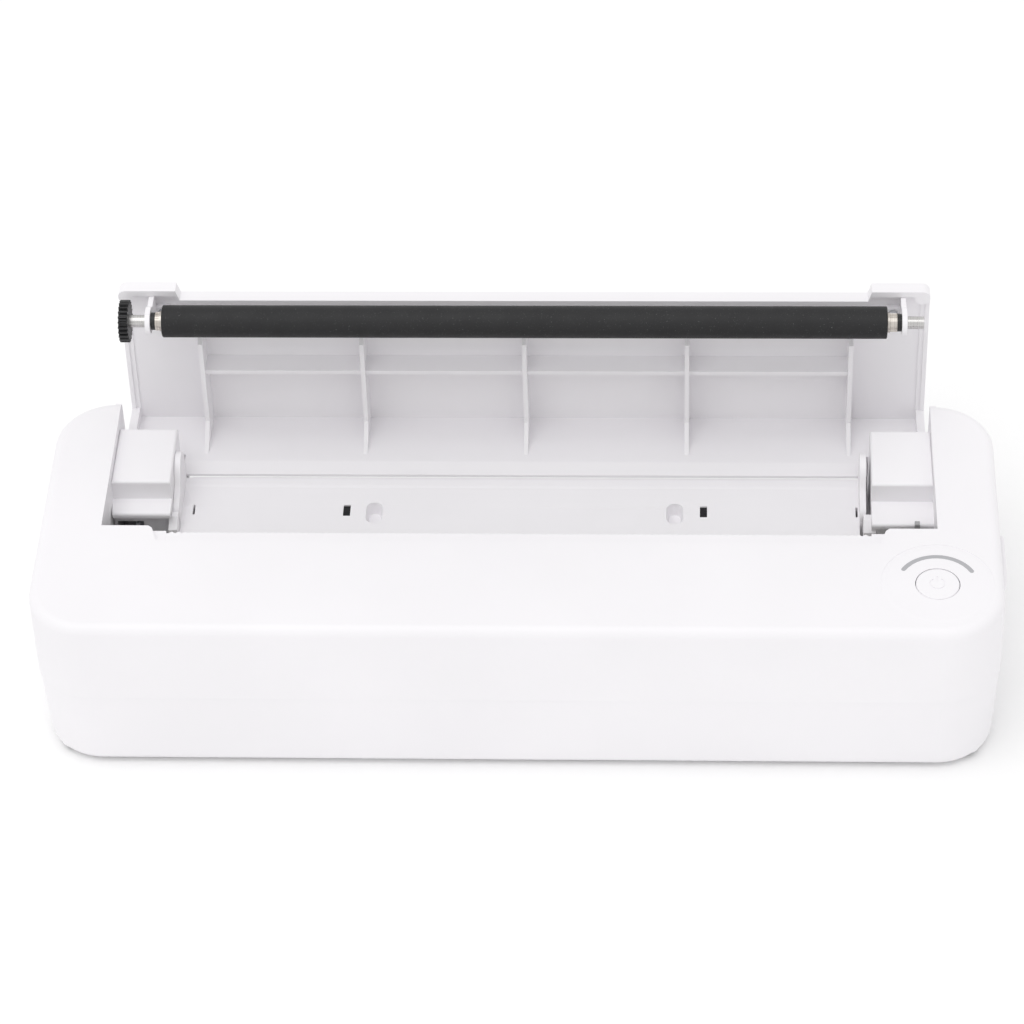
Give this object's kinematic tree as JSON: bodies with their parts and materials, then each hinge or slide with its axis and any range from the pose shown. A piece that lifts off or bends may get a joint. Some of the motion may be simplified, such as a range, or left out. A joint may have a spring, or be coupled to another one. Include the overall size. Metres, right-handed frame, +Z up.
{
  "type": "thermal label printer",
  "caption": "Portable page-wide thermal label printer: long white case with round corners, hinged lid carrying a rubber platen, tear edge, power and release buttons.",
  "frame": {"origin": "on the plane that the rubber feet stand on, under the middle of the bounding box with the lid open", "axes": "+Z up, -Y towards the front with the tear edge, +X towards the printer's right as seen from the front"},
  "size_m": [0.3016, 0.1221, 0.0997],
  "materials": {
    "case_white": "satin",
    "inner_white": "satin",
    "arc_grey": "gloss",
    "black_plastic": "satin",
    "grey_plastic": "satin",
    "rubber": "matte",
    "feet_rubber": "matte",
    "steel": "satin",
    "zinc_steel": "satin",
    "spring_steel": "satin",
    "bronze": "satin",
    "aluminium": "satin",
    "ceramic": "gloss",
    "circuit_board": "satin",
    "component": "satin",
    "lamp": "gloss",
    "battery_wrap": "gloss",
    "sensor_window": "gloss"
  },
  "bodies": {
    "case": {"lower_case": "case_white", "upper_case": "case_white", "tear_bar": "case_white", "light_arc": "arc_grey", "button_board": "circuit_board", "button_board_screws": "zinc_steel", "tact_switch": "component", "status_leds": "lamp", "release_spring": "spring_steel", "paper_guide": "inner_white", "gear_housing": "inner_white", "latch_housing": "inner_white", "side_plate_left": "inner_white", "side_plate_right": "inner_white", "head_frame": "zinc_steel", "head_pivot_rod": "steel", "head_springs": "spring_steel", "gear_plate": "zinc_steel", "gear_studs": "steel", "stepper_motor": "zinc_steel", "main_board": "circuit_board", "board_screws": "zinc_steel", "board_components": "component", "usb_inlet": "steel", "battery_pack": "battery_wrap", "paper_sensors": "sensor_window", "sensor_board": "circuit_board", "cover_switch": "grey_plastic", "rubber_feet": "feet_rubber", "case_screws": "zinc_steel", "frame_screws": "zinc_steel", "guide_screws": "zinc_steel"},
    "cover": {"lid": "case_white", "hinge_pins": "steel", "platen_bracket_left": "inner_white", "platen_bracket_right": "inner_white", "bracket_screws": "zinc_steel"},
    "platen": {"platen_shaft": "steel", "platen_rubber": "rubber", "platen_gear": "black_plastic", "platen_bushes": "bronze", "platen_clips": "black_plastic"},
    "power_key": {"power_button": "case_white"},
    "release_key": {"release_button": "case_white"},
    "latch": {"latch_bar": "steel"},
    "print_head": {"head_heatsink": "aluminium", "head_ceramic": "ceramic", "head_board": "circuit_board"},
    "drive_wheel": {"drive_gear": "black_plastic"},
    "idler_wheel": {"idler_gear": "black_plastic"},
    "motor_rotor": {"motor_pinion": "steel", "motor_shaft": "steel"},
    "switch_arm": {"switch_lever": "grey_plastic"}
  },
  "joints": [
    {"name": "lid_hinge", "type": "hinge", "parent": "case", "child": "cover", "pos_m": [0, 0.0416, 0.0429], "axis": [1, 0, 0], "range_deg": [0, 92]},
    {"name": "platen_spin", "type": "hinge", "parent": "cover", "child": "platen", "pos_m": [0, 0.04575, 0.09289], "axis": [1, 0, 0], "continuous": true},
    {"name": "drive_gear_spin", "type": "hinge", "parent": "case", "child": "drive_wheel", "pos_m": [-0.1248, -0.00131, 0.03286], "axis": [1, 0, 0], "continuous": true},
    {"name": "idler_gear_spin", "type": "hinge", "parent": "case", "child": "idler_wheel", "pos_m": [-0.1248, 0.00885, 0.02269], "axis": [1, 0, 0], "continuous": true},
    {"name": "motor_spin", "type": "hinge", "parent": "case", "child": "motor_rotor", "pos_m": [-0.1248, 0.01563, 0.01591], "axis": [1, 0, 0], "continuous": true},
    {"name": "power_press", "type": "slide", "parent": "case", "child": "power_key", "axis": [0, 0, -1], "range_m": [0, 0.0008], "stiffness_N_per_m": 1200, "springref_m": -0.0006},
    {"name": "release_press", "type": "slide", "parent": "case", "child": "release_key", "axis": [-1, 0, 0], "range_m": [0, 0.0015], "stiffness_N_per_m": 800, "springref_m": -0.0012},
    {"name": "latch_turn", "type": "hinge", "parent": "case", "child": "latch", "pos_m": [0, -0.0065, 0.026], "axis": [1, 0, 0], "range_deg": [0, 7]},
    {"name": "head_tilt", "type": "hinge", "parent": "case", "child": "print_head", "pos_m": [0, -0.01303, 0.03088], "axis": [1, 0, 0], "range_deg": [0, 3], "stiffness_Nm_per_rad": 6, "springref_deg": -1.72},
    {"name": "switch_press", "type": "slide", "parent": "case", "child": "switch_arm", "axis": [0, 0, -1], "range_m": [0, 0.0012], "stiffness_N_per_m": 300, "springref_m": -0.0006}
  ],
  "couplings": [
    {"joint": "idler_gear_spin", "follows": "drive_gear_spin", "ratio": -1.25},
    {"joint": "motor_spin", "follows": "drive_gear_spin", "ratio": 2.5},
    {"joint": "latch_turn", "follows": "release_press", "rad_per_m": 81.449}
  ]
}
